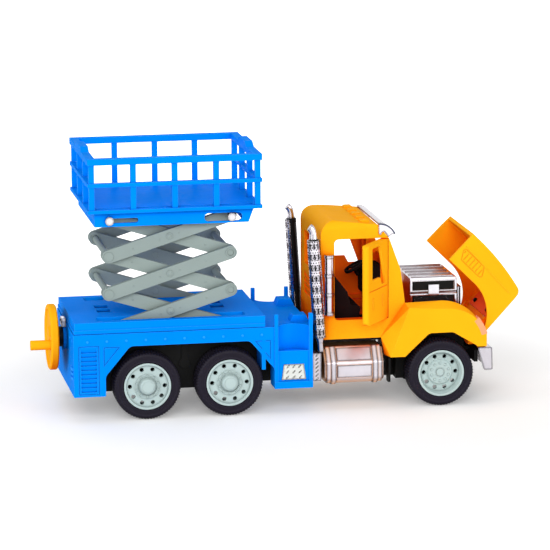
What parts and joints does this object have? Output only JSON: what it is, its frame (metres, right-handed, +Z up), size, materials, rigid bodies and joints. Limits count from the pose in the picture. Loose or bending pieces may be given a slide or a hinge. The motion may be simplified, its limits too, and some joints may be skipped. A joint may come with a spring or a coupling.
{
  "type": "toy truck with a scissor lift",
  "caption": "Toy truck with a hand-cranked scissor lift: railed blue platform on crossed grey arms, yellow cab with opening doors and tilting hood, chrome trim and wheels on turning axles",
  "frame": {"origin": "On the ground, at the middle of the box around the whole toy as shown, with the right door and the hood open", "axes": "+X to the front of the truck, +Y to its left side, +Z up"},
  "size_m": [0.2705, 0.0916, 0.1474],
  "materials": {
    "blue_plastic": "semi-gloss moulded blue",
    "yellow_plastic": "semi-gloss moulded yellow",
    "grey_plastic": "satin moulded grey",
    "black_plastic": "satin moulded black",
    "dark_interior": "matte dark brown black",
    "chrome_plastic": "bright plated plastic",
    "tread_plate": "plated diamond plate",
    "lamp_lens": "orange painted lens",
    "steel": "bare bright steel",
    "rim_grey": "satin moulded light grey",
    "tyre": "soft black"
  },
  "bodies": {
    "truck": {"chassis": "black_plastic", "bed_body": "blue_plastic", "bed_deck": "blue_plastic", "step_plates": "tread_plate", "crank_bearing": "black_plastic", "cab_shell": "yellow_plastic", "front_body": "yellow_plastic", "cab_interior": "dark_interior", "steering_wheel": "dark_interior", "sun_visor": "chrome_plastic", "exhaust_pipes": "black_plastic", "exhaust_tips": "chrome_plastic", "heat_shields": "chrome_plastic", "air_cleaners": "chrome_plastic", "fuel_tanks": "chrome_plastic", "tank_steps": "chrome_plastic", "engine": "chrome_plastic", "bumper": "chrome_plastic", "head_lamps": "lamp_lens", "mudflaps": "black_plastic"},
    "right_door": {"door_right": "yellow_plastic"},
    "left_door": {"door_left": "yellow_plastic"},
    "hood": {"hood": "yellow_plastic", "grille": "chrome_plastic"},
    "crank": {"crank_wheel": "yellow_plastic", "crank_shaft": "steel"},
    "lift_1_outer": {"arms_1_outer": "grey_plastic"},
    "lift_1_inner": {"arms_1_inner": "grey_plastic"},
    "lift_2_outer": {"arms_2_outer": "grey_plastic"},
    "lift_2_inner": {"arms_2_inner": "grey_plastic"},
    "lift_3_outer": {"arms_3_outer": "grey_plastic", "platform_pins_front": "steel"},
    "lift_3_inner": {"arms_3_inner": "grey_plastic", "platform_pins_rear": "steel"},
    "platform": {"platform_floor": "blue_plastic", "platform_rails": "blue_plastic"},
    "wheels_1": {"axle_1": "steel", "rims_1": "rim_grey", "tyres_1": "tyre"},
    "wheels_2": {"axle_2": "steel", "rims_2": "rim_grey", "tyres_2": "tyre"},
    "wheels_3": {"axle_3": "steel", "rims_3": "rim_grey", "tyres_3": "tyre"}
  },
  "joints": [
    {"name": "lift_raise", "type": "hinge", "parent": "truck", "child": "lift_1_outer", "pos_m": [-0.09385, 0.00577, 0.0485], "axis": [0, -1, 0], "range_deg": [-9.6, 21.1]},
    {"name": "lift_1_cross", "type": "hinge", "parent": "lift_1_outer", "child": "lift_1_inner", "pos_m": [-0.06041, 0.00577, 0.05883], "axis": [0, 1, 0], "range_deg": [-19.25, 42.25]},
    {"name": "lift_2_end", "type": "hinge", "parent": "lift_1_inner", "child": "lift_2_outer", "pos_m": [-0.09385, 0.00577, 0.06917], "axis": [0, -1, 0], "range_deg": [-19.25, 42.25]},
    {"name": "lift_2_cross", "type": "hinge", "parent": "lift_2_outer", "child": "lift_2_inner", "pos_m": [-0.06041, 0.00577, 0.0795], "axis": [0, 1, 0], "range_deg": [-19.25, 42.25]},
    {"name": "lift_3_end", "type": "hinge", "parent": "lift_2_inner", "child": "lift_3_outer", "pos_m": [-0.09385, 0.00577, 0.08983], "axis": [0, -1, 0], "range_deg": [-19.25, 42.25]},
    {"name": "lift_3_cross", "type": "hinge", "parent": "lift_3_outer", "child": "lift_3_inner", "pos_m": [-0.06041, 0.00577, 0.10016], "axis": [0, 1, 0], "range_deg": [-19.25, 42.25]},
    {"name": "platform_level", "type": "hinge", "parent": "lift_3_inner", "child": "platform", "pos_m": [-0.09385, 0.00577, 0.11049], "axis": [0, -1, 0], "range_deg": [-9.65, 21.15]},
    {"name": "crank_turn", "type": "hinge", "parent": "truck", "child": "crank", "pos_m": [-0.11465, 0.00577, 0.0405], "axis": [-1, 0, 0], "continuous": true},
    {"name": "right_door_swing", "type": "hinge", "parent": "truck", "child": "right_door", "pos_m": [0.05965, -0.02223, 0.0718], "axis": [0, 0, 1], "range_deg": [-55, 0]},
    {"name": "left_door_swing", "type": "hinge", "parent": "truck", "child": "left_door", "pos_m": [0.05965, 0.03377, 0.0718], "axis": [0, 0, -1], "range_deg": [0, 55]},
    {"name": "hood_swing", "type": "hinge", "parent": "truck", "child": "hood", "pos_m": [0.11195, 0.00577, 0.0383], "axis": [0, 1, 0], "range_deg": [-44.5, 0]},
    {"name": "rear_axle_turn", "type": "hinge", "parent": "truck", "child": "wheels_1", "pos_m": [-0.07435, 0.00577, 0.0185], "axis": [0, 1, 0], "continuous": true},
    {"name": "middle_axle_turn", "type": "hinge", "parent": "truck", "child": "wheels_2", "pos_m": [-0.02895, 0.00577, 0.0185], "axis": [0, 1, 0], "continuous": true},
    {"name": "front_axle_turn", "type": "hinge", "parent": "truck", "child": "wheels_3", "pos_m": [0.08935, 0.00577, 0.0185], "axis": [0, 1, 0], "continuous": true}
  ],
  "couplings": [
    {"joint": "lift_1_cross", "follows": "lift_raise", "ratio": 2},
    {"joint": "lift_2_end", "follows": "lift_raise", "ratio": 2},
    {"joint": "lift_2_cross", "follows": "lift_raise", "ratio": 2},
    {"joint": "lift_3_end", "follows": "lift_raise", "ratio": 2},
    {"joint": "lift_3_cross", "follows": "lift_raise", "ratio": 2},
    {"joint": "platform_level", "follows": "lift_raise", "ratio": 1}
  ]
}
